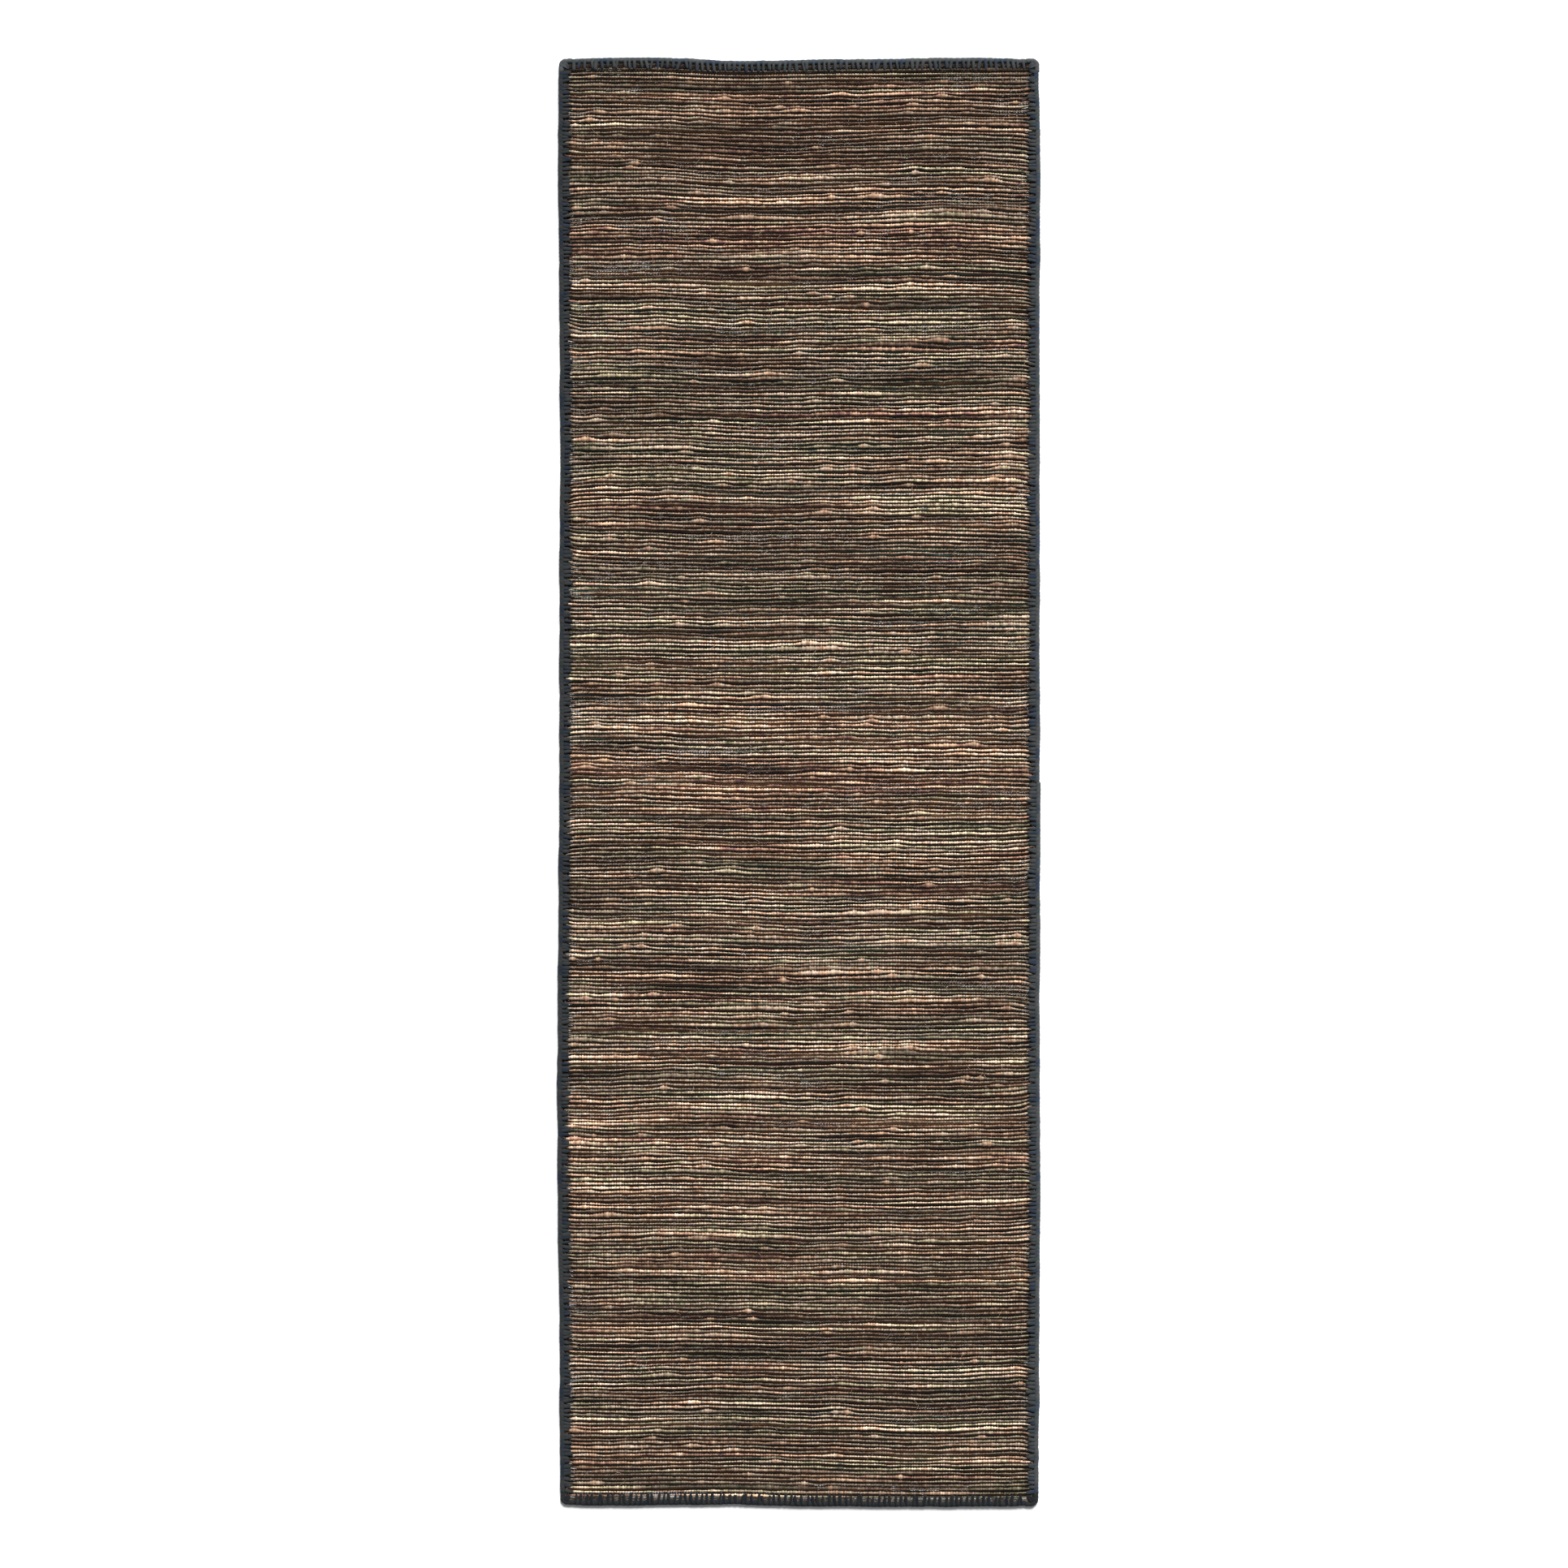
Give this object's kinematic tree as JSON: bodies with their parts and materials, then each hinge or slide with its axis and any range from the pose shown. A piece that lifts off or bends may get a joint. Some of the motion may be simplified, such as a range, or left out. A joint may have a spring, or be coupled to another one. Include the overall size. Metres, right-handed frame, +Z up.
{
  "type": "runner rug",
  "caption": "Flat handwoven runner rug: slubby tan and dark weft rows on thin warp, with a dark stitched edge all round.",
  "frame": {"origin": "on the floor, under the middle of the rug", "axes": "+Z up off the floor, +Y along the rug's length, +X across it to the right"},
  "size_m": [0.61, 1.83, 0.0083],
  "materials": {
    "tan_weft": "hand-spun plant fibre, slubby, matt",
    "dark_weft": "hand-spun plant fibre, slubby, matt",
    "warp": "thin twisted cotton thread, matt",
    "edge_yarn": "thick soft plied yarn, matt"
  },
  "bodies": {
    "root": {"warp_threads": "warp", "selvage_cord_left": "warp", "selvage_cord_right": "warp", "heading_top": "warp", "heading_bottom": "warp", "tan_weft_yarn_1": "tan_weft", "tan_weft_yarn_2": "tan_weft", "tan_weft_yarn_3": "tan_weft", "tan_weft_yarn_4": "tan_weft", "tan_weft_yarn_5": "tan_weft", "tan_weft_yarn_6": "tan_weft", "tan_weft_yarn_7": "tan_weft", "tan_weft_yarn_8": "tan_weft", "tan_weft_yarn_9": "tan_weft", "tan_weft_yarn_10": "tan_weft", "tan_weft_yarn_11": "tan_weft", "tan_weft_yarn_12": "tan_weft", "dark_weft_yarn_1": "dark_weft", "dark_weft_yarn_2": "dark_weft", "dark_weft_yarn_3": "dark_weft", "dark_weft_yarn_4": "dark_weft", "dark_weft_yarn_5": "dark_weft", "dark_weft_yarn_6": "dark_weft", "dark_weft_yarn_7": "dark_weft", "dark_weft_yarn_8": "dark_weft", "dark_weft_yarn_9": "dark_weft", "dark_weft_yarn_10": "dark_weft", "dark_weft_yarn_11": "dark_weft", "dark_weft_yarn_12": "dark_weft", "edge_stitches_left_1": "edge_yarn", "edge_stitches_left_2": "edge_yarn", "edge_stitches_left_3": "edge_yarn", "edge_stitches_left_4": "edge_yarn", "edge_stitches_right_1": "edge_yarn", "edge_stitches_right_2": "edge_yarn", "edge_stitches_right_3": "edge_yarn", "edge_stitches_right_4": "edge_yarn", "edge_stitches_top": "edge_yarn", "edge_stitches_bottom": "edge_yarn", "corner_wrap_top_left": "edge_yarn", "corner_wrap_top_right": "edge_yarn", "corner_wrap_bottom_left": "edge_yarn", "corner_wrap_bottom_right": "edge_yarn"}
  },
  "joints": []
}
